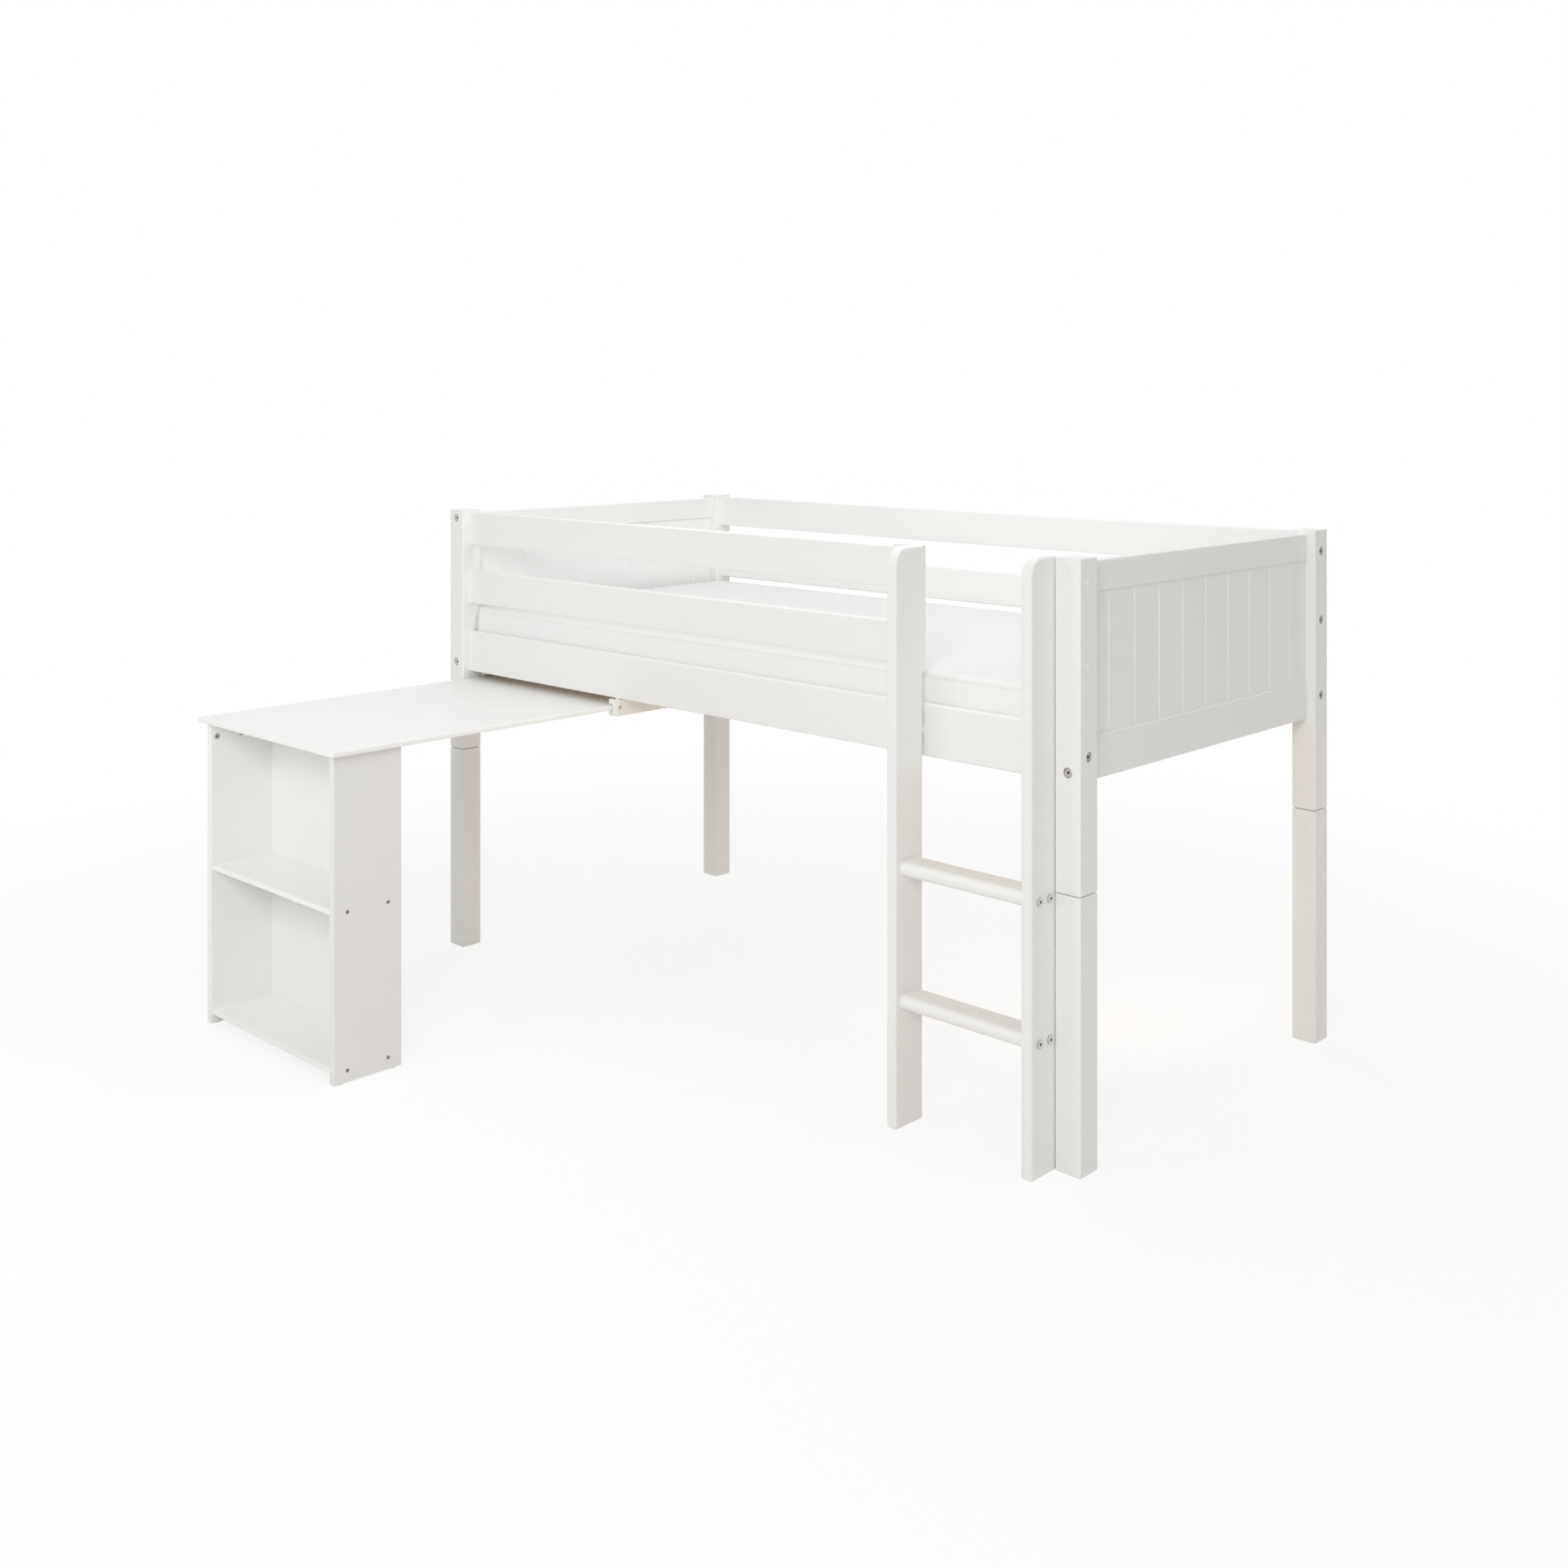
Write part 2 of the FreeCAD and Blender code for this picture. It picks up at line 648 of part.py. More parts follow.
def mount_ladder():
    """Bolts that hold the stringers to the front side rail and to the guard end cleat."""
    rail_middle = rail_bottom + side_rail_height / 2
    guard_gap_middle = high_guard_bottom - high_guard_gap / 2
    left_x = left_stringer_x + stringer_thick / 2
    right_x = right_stringer_x + stringer_thick / 2
    rail_back = y_front_rail + half_board
    cleat_back = y_front_rail - half_board
    places = (
        ("ladder_stringer_left", "guard_end_cleat", left_x, cleat_back, guard_gap_middle),
        ("ladder_stringer_left", "front_side_rail", left_x, rail_back, rail_middle),
        ("ladder_stringer_right", "front_side_rail", right_x, rail_back, rail_middle + right_mount_low),
        ("ladder_stringer_right", "front_side_rail", right_x, rail_back, rail_middle + right_mount_high),
    )
    for upright, carrier, x, face_y, height in places:
        seat = point(x, face_y - head_recess, height)
        nut_middle = point(x, stringer_back - stringer_nut_inset, height)
        length = seat.y - nut_middle.y + nut_diameter / 2 + bolt_tip
        bed.add("ladder_mount_bolts", bolt(seat, -AXIS_Y, length))
        bed.add("ladder_mount_nuts", barrel_nut(nut_middle, -AXIS_X, nut_length, AXIS_Y))
        for node in (upright, carrier):
            bed.drill(node, bolt_bore(seat, -AXIS_Y, length))
        bed.drill(upright, nut_bore(nut_middle, -AXIS_X, nut_length, stringer_thick))
        if carrier == "front_side_rail":
            spacer = rod(point(x, stringer_back, height), AXIS_Y, cleat_thick, spacer_diameter)
            bed.add("ladder_spacers", spacer.cut(rod(seat, -AXIS_Y, length, hole_diameter)))


def ladder():
    stringer("ladder_stringer_left", left_stringer_x)
    stringer("ladder_stringer_right", right_stringer_x)
    for n in range(rung_count):
        rung("ladder_rung_" + str(n + 1), lowest_rung_height + n * rung_pitch)
    mount_ladder()


def hang_runner(node, rail, x, y, nut_axis, nut_reach):
    """Bolt down from a rail into a runner's barrel nut, with a spacer between the two."""
    nut_middle = point(x, y, runner_top - runner_height + runner_nut_height)
    foot = nut_middle - AXIS_Z * (nut_diameter / 2 + bolt_tip)
    length = rail_bottom + hanger_bite - foot.z
    hole = rod(foot - AXIS_Z * hole_gap, AXIS_Z, length + 2 * hole_gap, hole_diameter)
    bed.add("runner_bolts", rod(foot, AXIS_Z, length, bolt_diameter))
    bed.add("runner_nuts", barrel_nut(nut_middle, nut_axis, runner_nut_length, AXIS_Z))
    spacer = rod(point(x, y, runner_top), AXIS_Z, runner_spacer_height, runner_spacer_diameter)
    bed.add("runner_spacers", spacer.cut(hole))
    bed.drill(rail, hole)
    bed.drill(node, hole, nut_bore(nut_middle, nut_axis, runner_nut_length, nut_reach))


def desk_runners():
    """Grooved runners under the bed that carry the desk's side edges."""
    zs = (runner_top - runner_height, runner_top)
    groove_zs = (desk_underside - groove_under_gap, desk_top_height + groove_over_gap)

    groove_right = desk_right + runner_side_gap
    right_xs = (groove_right - runner_groove_depth, groove_right + runner_web)
    right_ys = (y_front_rail - half_board - runner_proud, y_rear_rail + half_board)
    bolt_x = groove_right + runner_web / 2
    groove_ys = (right_ys[0] - runner_proud, right_ys[1] + runner_proud)
    groove = box((right_xs[0] - runner_side_gap, groove_right), groove_ys, groove_zs)
    bed.add("desk_runner_right", box(right_xs, right_ys, zs).cut(groove))
    for rail, y in (("front_side_rail", y_front_rail), ("rear_side_rail", y_rear_rail)):
        hang_runner("desk_runner_right", rail, bolt_x, y, AXIS_X, runner_web)

    groove_left = desk_left - runner_side_gap
    left_axis = x_left + post_axis
    left_xs = (left_axis - half_board, groove_left + runner_groove_depth)
    left_ys = (y_front + post_side + runner_post_gap, y_rear - post_side - runner_post_gap)
    groove_ys = (left_ys[0] - runner_proud, left_ys[1] + runner_proud)
    groove = box((groove_left, left_xs[1] + runner_side_gap), groove_ys, groove_zs)
    bed.add("desk_runner_left", box(left_xs, left_ys, zs).cut(groove))
    for y in (left_ys[0] + left_hanger_inset, left_ys[1] - left_hanger_inset):
        hang_runner("desk_runner_left", "left_end_bottom_rail", left_axis, y, -AXIS_X, board_thick)


def desk_top():
    ys = span(desk_front, desk_reach + desk_tail)
    blank = box((desk_left, desk_right), ys, (desk_underside, desk_top_height))
    bed.add("desk_top", blank.makeFillet(desk_round, blank.Edges))


def bookcase():
    """Open two-shelf case that carries the desk's outer end and faces away from the bed."""
    ys = (case_front, case_rear)
    zs = (pad_thick, desk_underside)
    sides = (("bookcase_left_side", case_left, AXIS_X), ("bookcase_right_side", case_right, -AXIS_X))
    shelf_xs = (case_left + case_board, case_right - case_board)
    back_face = case_rear - case_back_thick
    shelves = (("bookcase_bottom_shelf", bottom_shelf_height), ("bookcase_middle_shelf", middle_shelf_height))
    for shelf, height in shelves:
        shelf_ys = (case_front + shelf_setback, back_face)
        bed.add(shelf, board(shelf_xs, shelf_ys, span(height, shelf_thick), AXIS_X, case_round))
    bed.add("bookcase_back", box(shelf_xs, (back_face, case_rear), (bottom_shelf_height, desk_underside)))

    for node, x, inward in sides:
        bed.add(node, board(span(x, inward.x * case_board), ys, zs, AXIS_Z, case_round))
        for shelf, height in shelves:
            middle = height + shelf_thick / 2
            screw_ys = (case_front + case_screw_inset, case_rear - case_screw_inset)
            seats = [point(x, y, middle) for y in screw_ys]
            drive_screws("shelf_screws", (node, shelf), case_screw, seats, inward, case_screw_length)
        for n in range(2):
            cam_joint(node, x, inward, case_front + cam_front_inset + n * cam_pitch)
        for y in (case_front + pad_inset, case_rear - pad_inset):
            foot = point(x + inward.x * case_board / 2, y, 0)
            bed.add("floor_pads", rod(foot, AXIS_Z, pad_thick, pad_diameter))


def cam_joint(side_node, x, inward, y):
    """Cam lock in a bookcase side and the bolt that comes down into it from the desk top."""
    middle = point(x + inward.x * case_board / 2, y, desk_underside - cam_drop)
    inner_face = point(x + inward.x * case_board, y, middle.z)
    foot = middle - AXIS_Z * cam_bolt_diameter
    length = desk_underside + cam_bolt_bite - foot.z
    hole = rod(foot - AXIS_Z * hole_gap, AXIS_Z, length + hole_gap, cam_bolt_diameter + 2 * hole_gap)
    bed.add("cam_bolts", rod(foot, AXIS_Z, length, cam_bolt_diameter))
    socket = hexagon_bar(inner_face, -inward, cam_socket_depth, cam_socket)
    bed.add("cam_locks", rod(inner_face, -inward, cam_thick, cam_diameter).cut([hole, socket]))
    bed.drill("desk_top", hole)
    bed.drill(side_node, hole, rod(inner_face, -inward, cam_thick + hole_gap, cam_diameter + 2 * hole_gap))


posts_and_legs()
bed_end("left", x_left, 1)
bed_end("right", x_right, -1)
side_rails()
spare_holes()
guard_cleat()
slat_base()
mattress()
ladder()
desk_runners()
desk_top()
bookcase()
bed.export()
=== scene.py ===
"""Looks of a white loft bed with a ladder and a pull-out desk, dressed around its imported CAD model."""

import logging
import math
import zlib
from dataclasses import dataclass, replace
from enum import Enum
from typing import Any, Dict, List, Optional, Sequence, Tuple, Union

import bpy
import numpy as np
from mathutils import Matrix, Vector


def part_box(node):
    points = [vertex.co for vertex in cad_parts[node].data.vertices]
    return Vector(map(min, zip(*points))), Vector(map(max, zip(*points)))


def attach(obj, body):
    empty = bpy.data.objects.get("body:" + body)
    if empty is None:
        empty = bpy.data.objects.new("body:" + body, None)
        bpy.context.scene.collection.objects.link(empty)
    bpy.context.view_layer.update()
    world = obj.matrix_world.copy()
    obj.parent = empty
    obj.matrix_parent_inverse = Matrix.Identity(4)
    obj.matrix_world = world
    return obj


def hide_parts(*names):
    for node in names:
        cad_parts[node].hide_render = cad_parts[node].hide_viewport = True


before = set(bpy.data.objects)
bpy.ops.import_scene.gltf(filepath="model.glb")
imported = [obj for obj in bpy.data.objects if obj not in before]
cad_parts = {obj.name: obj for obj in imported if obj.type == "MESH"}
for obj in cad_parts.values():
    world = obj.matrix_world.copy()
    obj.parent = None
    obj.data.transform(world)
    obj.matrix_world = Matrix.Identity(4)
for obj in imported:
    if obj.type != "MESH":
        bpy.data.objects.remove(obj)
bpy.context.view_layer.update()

log = logging.getLogger("loft_bed")

Colour = Tuple[float, float, float]
Span = Tuple[float, float]
Value = Union["Field", float, Sequence[float]]

WHITE: Colour = (1.0, 1.0, 1.0)
# Smallest length that anything is divided by.
TINY = 1e-9
# How many offsets a board can have along each axis, and how far apart they are.
SHIFT_STEPS = ((97, 0.31), (89, 0.37), (83, 0.41))


class Axis(Enum):
    """Direction of a board's grain or of a bolt's shank."""

    X = 0
    Y = 1
    Z = 2

    def stretch(self, across: float, along: float) -> List[float]:
        """Scales for the three axes: one value along this direction, and another across it."""
        return [along if axis is self else across for axis in Axis]


class Field:
    """A shader socket that takes part in Python sums; each operator adds one Math node."""

    def __init__(self, graph: "Graph", socket: bpy.types.NodeSocket) -> None:
        """Hold the socket and the graph that it belongs to."""
        self.graph = graph
        self.socket = socket

    def math(self, operation: str, *values: Value) -> "Field":
        """Add a Math node.

        Args:
            operation: Name of the Math node's operation.
            values: Its inputs in order.

        Returns:
            The node's result.
        """
        return self.graph.node("ShaderNodeMath", {"operation": operation}, dict(enumerate(values)))

    def __add__(self, other: Value) -> "Field":
        """Sum."""
        return self.math("ADD", self, other)

    def __radd__(self, other: Value) -> "Field":
        """Sum with a number on the left."""
        return self.math("ADD", other, self)

    def __sub__(self, other: Value) -> "Field":
        """Difference."""
        return self.math("SUBTRACT", self, other)

    def __rsub__(self, other: Value) -> "Field":
        """Difference from a number on the left."""
        return self.math("SUBTRACT", other, self)

    def __mul__(self, other: Value) -> "Field":
        """Product."""
        return self.math("MULTIPLY", self, other)

    def __rmul__(self, other: Value) -> "Field":
        """Product with a number on the left."""
        return self.math("MULTIPLY", other, self)

    def __pow__(self, other: Value) -> "Field":
        """Power."""
        return self.math("POWER", self, other)

    def __rpow__(self, other: Value) -> "Field":
        """Power of a number on the left."""
        return self.math("POWER", other, self)

    def least(self, other: Value) -> "Field":
        """Smaller of the two."""
        return self.math("MINIMUM", self, other)

    def most(self, other: Value) -> "Field":
        """Larger of the two."""
        return self.math("MAXIMUM", self, other)

    def sine(self) -> "Field":
        """Sine of the value in radians."""
        return self.math("SINE", self)

    def size(self) -> "Field":
        """Value without its sign."""
        return self.math("ABSOLUTE", self)

    def lift(self) -> "Field":
        """Value from -1 to 1, brought to the range from 0 to 1."""
        return self * 0.5 + 0.5

    def step(self, low: float, high: float) -> "Field":
        """Smooth step.

        Args:
            low: Where the step is still 0.
            high: Where the step reaches 1.

        Returns:
            The step, from 0 to 1.
        """
        settings = {"interpolation_type": "SMOOTHSTEP"}
        ends = {"From Min": low, "From Max": high, "To Min": 0.0, "To Max": 1.0}
        return self.graph.node("ShaderNodeMapRange", settings, {"Value": self, **ends})


class Graph:
    """A node tree that is written as Python expressions."""

    def __init__(self, tree: bpy.types.NodeTree) -> None:
        """Start from an empty tree."""
        self.tree = tree
        tree.nodes.clear()

    def node(self, kind: str, settings: Optional[Dict[str, Any]] = None,
             inputs: Optional[Dict[Union[int, str], Value]] = None, output: Union[int, str] = 0) -> Field:
        """Add any node.

        Args:
            kind: The node's type name.
            settings: Attributes that are set first, such as a Math node's operation.
            inputs: Values or links of its sockets, by name or number.
            output: The socket that is returned.

        Returns:
            The chosen output socket.
        """
        made = self.tree.nodes.new(kind)
        for name, setting in (settings or {}).items():
            setattr(made, name, setting)
        for name, value in (inputs or {}).items():
            socket = made.inputs[name]
            if isinstance(value, Field):
                self.tree.links.new(value.socket, socket)
            elif socket.type == "RGBA":
                socket.default_value = (*value, 1.0)
            else:
                socket.default_value = value
        return Field(self, made.outputs[output])

    def mix(self, factor: Value, first: Value, second: Value) -> Field:
        """Blend two colours.

        Args:
            factor: 0 gives the first colour and 1 the second.
            first: A colour or a link.
            second: A colour or a link.

        Returns:
            The blended colour.
        """
        settings = {"data_type": "RGBA", "blend_type": "MIX"}
        return self.node("ShaderNodeMix", settings, {0: factor, 6: first, 7: second}, output=2)

    def place(self, scale: Sequence[float] = (1.0, 1.0, 1.0),
              shift: Sequence[float] = (0.0, 0.0, 0.0)) -> Field:
        """Object coordinates, scaled and shifted."""
        where = self.node("ShaderNodeTexCoord", output="Object")
        return self.node("ShaderNodeMapping", {}, {"Vector": where, "Scale": scale, "Location": shift})

    def parts(self, vector: Field) -> List[Field]:
        """The three components of a vector."""
        split = self.node("ShaderNodeSeparateXYZ", {}, {0: vector})
        return [Field(self, socket) for socket in split.socket.node.outputs]

    def noise(self, vector: Field, scale: float, detail: float = 2.0, rough: float = 0.5,
              bend: float = 0.0) -> Field:
        """Noise from 0 to 1.

        Args:
            vector: Where it is read.
            scale: Features per unit of the vector.
            detail: Octaves.
            rough: Strength of the finer octaves.
            bend: Distortion.

        Returns:
            The noise value.
        """
        values = {"Vector": vector, "Scale": scale, "Detail": detail, "Roughness": rough, "Distortion": bend}
        return self.node("ShaderNodeTexNoise", {}, values)

    def cells(self, vector: Field, scale: float) -> Field:
        """Distance to the nearest of many scattered points."""
        return self.node("ShaderNodeTexVoronoi", {}, {"Vector": vector, "Scale": scale})

    def bump(self, height: Field, depth: float, strength: float, normal: Optional[Field] = None) -> Field:
        """Bend the surface normal by a height.

        Args:
            height: The height, from 0 to 1.
            depth: How far a height of 1 stands out, in metres.
            strength: Share of the effect.
            normal: A normal that is bent already.

        Returns:
            The bent normal.
        """
        values: Dict[Union[int, str], Value] = {"Height": height, "Distance": depth, "Strength": strength}
        if normal is not None:
            values["Normal"] = normal
        return self.node("ShaderNodeBump", {}, values)

    def seen(self) -> Field:
        """Mask of the rays that come from the camera, straight or by a mirror or through glass."""
        straight, mirrored, through = [self.node("ShaderNodeLightPath", output="Is %s Ray" % kind)
                                       for kind in ("Camera", "Glossy", "Transmission")]
        return straight.most(mirrored).most(through)

    def surface(self, **inputs: Value) -> None:
        """Close a material with one Principled shader.

        Args:
            inputs: Values or links of its sockets, by name with underscores for spaces.
        """
        named = {name.replace("_", " "): value for name, value in inputs.items()}
        shader = self.node("ShaderNodeBsdfPrincipled", {}, named)
        self.node_out(shader, "ShaderNodeOutputMaterial")

    def node_out(self, shader: Field, kind: str) -> None:
        """Link a shader to the tree's output node."""
        self.tree.links.new(shader.socket, self.tree.nodes.new(kind).inputs["Surface"])


def new_material(name: str) -> Tuple[bpy.types.Material, Graph]:
    """Make an empty material.

    Args:
        name: Its name.

    Returns:
        The material and its graph.
    """
    material = bpy.data.materials.new(name)
    material.use_nodes = True
    return material, Graph(material.node_tree)


def own_shift(name: str) -> Tuple[float, ...]:
    """A fixed offset for each board, so that no two boards have the same grain."""
    seed = zlib.crc32(name.encode())
    return tuple(seed % count * step for count, step in SHIFT_STEPS)


@dataclass(frozen=True)
class Lacquer:
    """Sprayed satin white lacquer on planed wood: faint grain, fine orange peel, and a painted highlight
    along the edges that noise breaks into patches.
    """

    grain: Axis
    colour: Colour = (0.932, 0.934, 0.918)
    shade: Colour = (0.875, 0.877, 0.856)
    # Edge colour, share and span make a painted highlight along the edges.
    edge_highlight_colour: Colour = (0.957, 0.957, 0.946)
    edge_width: float = 0.006
    edge_highlight_share: float = 0.5
    edge_highlight_span: Span = (0.35, 0.7)
    across: float = 90.0
    along: float = 2.2
    ring_stretch: float = 0.14
    fibre_span: Span = (0.42, 0.86)
    fibre_tone: float = 0.10
    ring_span: Span = (0.45, 0.8)
    ring_tone: float = 0.07
    cloud_tone: float = 0.10
    rough: float = 0.36
    cloud_rough: float = 0.07
    fibre_rough: float = 0.05
    edge_polish: float = 0.05
    coat: float = 0.12
    coat_rough: float = 0.22

    def edge_band(self, graph: Graph, low: Sequence[float], high: Sequence[float]) -> Field:
        """Mask of the strips beside the long edges of a board.

        A point's distances to the nearer wall of the board's box are taken along the three axes. On
        a face the smallest is nothing, so the middle one is the distance to the nearest edge.

        Args:
            graph: Graph that gets the nodes.
            low: Lowest corner of the board.
            high: Highest corner of the board.

        Returns:
            1 on an edge, and 0 further than the edge width from it.
        """
        walls = []
        for value, start, end in zip(graph.parts(graph.place()), low, high):
            walls.append((value - start).least(end - value).size())
        a, b, c = walls
        middle = a.least(b).most(a.most(b).least(c))
        return 1.0 - middle.step(0.0, self.edge_width)

    def material(self, name: str, low: Sequence[float], high: Sequence[float]) -> bpy.types.Material:
        """Make the finish for one board.

        Args:
            name: The board's node.
            low: Lowest corner of the board.
            high: Highest corner of the board.

        Returns:
            The material.
        """
        material, graph = new_material("lacquer_" + name)
        shift = own_shift(name)
        stretch = self.grain.stretch(self.across, self.along)
        wide = [value * self.ring_stretch for value in stretch]
        fibres = graph.noise(graph.place(stretch, shift), scale=3.2, detail=5.0, rough=0.62, bend=0.4)
        rings = graph.noise(graph.place(wide, shift), scale=2.0, detail=3.0, bend=1.2)
        cloud = graph.noise(graph.place(shift=shift), scale=3.1)
        peel = graph.noise(graph.place(), scale=420.0, detail=1.0)
        edge = self.edge_band(graph, low, high)
        # Painted highlight: the edge strips are mixed towards the lighter edge colour, in patches from the
        # noise.
        painted_edge_highlight = edge * cloud.step(*self.edge_highlight_span)
        grain = fibres.step(*self.fibre_span) * self.fibre_tone + rings.step(*self.ring_span) * self.ring_tone
        body = graph.mix(grain + cloud * self.cloud_tone, self.colour, self.shade)
        colour = graph.mix(painted_edge_highlight * self.edge_highlight_share, body, self.edge_highlight_colour)
        rough = self.rough + cloud * self.cloud_rough + fibres * self.fibre_rough - edge * self.edge_polish
        relief = graph.bump(peel, depth=0.00012, strength=0.10)
        relief = graph.bump(fibres, depth=0.0005, strength=0.05, normal=relief)
        graph.surface(Base_Color=colour, Roughness=rough, Normal=relief, Coat_Weight=self.coat,
                      Coat_Roughness=self.coat_rough)
        return material


@dataclass(frozen=True)
class BarePine:
    """Planed and unfinished pine: straight growth rings, fine pores and a few knots."""

    grain: Axis
    early: Colour = (0.74, 0.57, 0.36)
    late: Colour = (0.56, 0.37, 0.19)
    knot: Colour = (0.30, 0.16, 0.07)
    across: float = 26.0
    along: float = 1.1
    ring_turns: Span = (620.0, 240.0)
    ring_waver: float = 26.0
    ring_power: float = 2.2
    ring_tone: float = 0.55
    ring_height: float = 0.4
    fibre_stretch: float = 9.0
    fibre_tone: float = 0.25
    knot_across: float = 3.2
    knot_along: float = 1.6
    knot_span: Span = (0.035, 0.10)
    knot_tone: float = 0.8
    rough: float = 0.62
    ring_polish: float = 0.10
    fibre_rough: float = 0.1

    def material(self, name: str, low: Sequence[float], high: Sequence[float]) -> bpy.types.Material:
        """Make the finish.

        The rings are a sine of the two ways across the grain, with a slow waver.

        Args:
            name: The board's node.
            low: Lowest corner of the board, which isn't needed.
            high: Highest corner of the board, which isn't needed.

        Returns:
            The material.
        """
        material, graph = new_material("pine_" + name)
        shift = own_shift(name)
        stretch = self.grain.stretch(self.across, self.along)
        fine = [value * self.fibre_stretch for value in stretch]
        spots = self.grain.stretch(self.knot_across, self.knot_along)
        waver = graph.noise(graph.place(stretch, shift), scale=0.9)
        first, second = [part for part, axis in zip(graph.parts(graph.place()), Axis) if axis != self.grain]
        phase = first * self.ring_turns[0] + second * self.ring_turns[1] + waver * self.ring_waver
        rings = phase.sine().lift() ** self.ring_power
        fibres = graph.noise(graph.place(fine, shift), scale=3.0, detail=4.0, rough=0.6)
        knots = 1.0 - graph.cells(graph.place(spots, shift), scale=2.0).step(*self.knot_span)
        colour = graph.mix(rings * self.ring_tone + fibres * self.fibre_tone, self.early, self.late)
        colour = graph.mix(knots * self.knot_tone, colour, self.knot)
        rough = self.rough - rings * self.ring_polish + fibres * self.fibre_rough
        relief = graph.bump(fibres + rings * self.ring_height, depth=0.0005, strength=0.35)
        graph.surface(Base_Color=colour, Roughness=rough, Normal=relief)
        return material


@dataclass(frozen=True)
class Steel:
    """Zinc plated or powder coated steel, with painted shade in the sockets of the heads and a painted shadow
    ring round their rims.
    """

    colour: Colour
    spot: Colour
    metallic: float
    rough: float
    along: Optional[Axis] = None
    head_radius: float = 0.0
    socket_radius: float = 0.0027
    socket_edge: float = 0.85
    levels: Tuple[float, ...] = ()
    # Colour of the painted shade in the sockets.
    socket_shade: Colour = (0.035, 0.030, 0.026)
    # Share of the painted shadow ring round each head's rim.
    rim: float = 0.0
    rim_shade_width: float = 0.0014
    cloud_span: Span = (0.3, 0.75)
    cloud_tone: float = 0.6
    cloud_rough: float = 0.12
    crystal_tone: float = 0.2
    crystal_rough: float = 0.08

    def sockets(self, graph: Graph, low: Sequence[float], high: Sequence[float]) -> Field:
        """Mask of the painted shade in the sockets and of a painted shadow ring round the rims of equal heads
        at a rectangle's corners.

        The box of all the heads reaches one head radius beyond their axes, so an axis lies half the
        box less that radius from its middle. A point's distances from the middle are folded about
        that place, and the root of their squares is the distance from the nearest axis. Rows of heads
        between the lowest and the highest are given by their heights, the levels.

        Args:
            graph: Graph that gets the nodes.
            low: Lowest corner of the set of bolts or screws.
            high: Highest corner of the set.

        Returns:
            1 inside a socket, the share of the painted rim shadow at the rim of a head, and 0 elsewhere.
        """
        offsets = []
        for value, axis, start, end in zip(graph.parts(graph.place()), Axis, low, high):
            if axis != self.along:
                reach = (end - start) / 2 - self.head_radius
                offset = ((value - (start + end) / 2).size() - reach).size()
                if axis == Axis.Z:
                    for level in self.levels:
                        offset = offset.least((value - level).size())
                offsets.append(offset)
        first, second = offsets
        distance = (first * first + second * second) ** 0.5
        hole = 1.0 - distance.step(self.socket_radius * self.socket_edge, self.socket_radius)
        return hole.most(distance.step(self.head_radius - self.rim_shade_width, self.head_radius) * self.rim)

    def material(self, name: str, low: Sequence[float], high: Sequence[float]) -> bpy.types.Material:
        """Make the finish.

        Args:
            name: The node.
            low: Lowest corner of the node.
            high: Highest corner of the node.

        Returns:
            The material.
        """
        material, graph = new_material("steel_" + name)
        where = graph.place()
        crystals = graph.cells(where, scale=900.0)
        cloud = graph.noise(where, scale=160.0, detail=3.0)
        tone = cloud.step(*self.cloud_span) * self.cloud_tone + crystals * self.crystal_tone
        colour = graph.mix(tone, self.colour, self.spot)
        rough = self.rough + cloud * self.cloud_rough + crystals * self.crystal_rough
        relief = graph.bump(cloud, depth=0.0002, strength=0.12)
        metallic: Value = self.metallic
        if self.along is not None:
            # Painted shade: sockets go dark and lose their metal, and a thin ring round each head's rim is
            # darkened.
            painted_socket_shade = self.sockets(graph, low, high)
            colour = graph.mix(painted_socket_shade, colour, self.socket_shade)
            metallic = (1.0 - painted_socket_shade) * self.metallic
        graph.surface(Base_Color=colour, Roughness=rough, Normal=relief, Metallic=metallic)
        return material


@dataclass(frozen=True)
class MouldedPlastic:
    """Injection moulded satin plastic with a fine spark-eroded texture."""

    colour: Colour
    shade: Colour
    cloud_tone: float = 0.5
    rough: float = 0.42
    grit_rough: float = 0.08

    def material(self, name: str, low: Sequence[float], high: Sequence[float]) -> bpy.types.Material:
        """Make the finish.

        Args:
            name: The node.
            low: Lowest corner of the node, which isn't needed.
            high: Highest corner of the node, which isn't needed.

        Returns:
            The material.
        """
        material, graph = new_material("plastic_" + name)
        where = graph.place()
        grit = graph.noise(where, scale=1500.0)
        cloud = graph.noise(where, scale=60.0)
        colour = graph.mix(cloud * self.cloud_tone, self.colour, self.shade)
        relief = graph.bump(grit, depth=0.0001, strength=0.15)
        graph.surface(Base_Color=colour, Roughness=self.rough + grit * self.grit_rough, Normal=relief)
        return material


@dataclass(frozen=True)
class Felt:
    """Pressed wool felt."""

    colour: Colour
    shade: Colour
    rough: float = 0.95

    def material(self, name: str, low: Sequence[float], high: Sequence[float]) -> bpy.types.Material:
        """Make the finish.

        Args:
            name: The node.
            low: Lowest corner of the node, which isn't needed.
            high: Highest corner of the node, which isn't needed.

        Returns:
            The material.
        """
        material, graph = new_material("felt_" + name)
        fuzz = graph.noise(graph.place(), scale=900.0, detail=4.0, rough=0.7)
        colour = graph.mix(fuzz, self.colour, self.shade)
        relief = graph.bump(fuzz, depth=0.0006, strength=0.6)
        graph.surface(Base_Color=colour, Roughness=self.rough, Normal=relief)
        return material


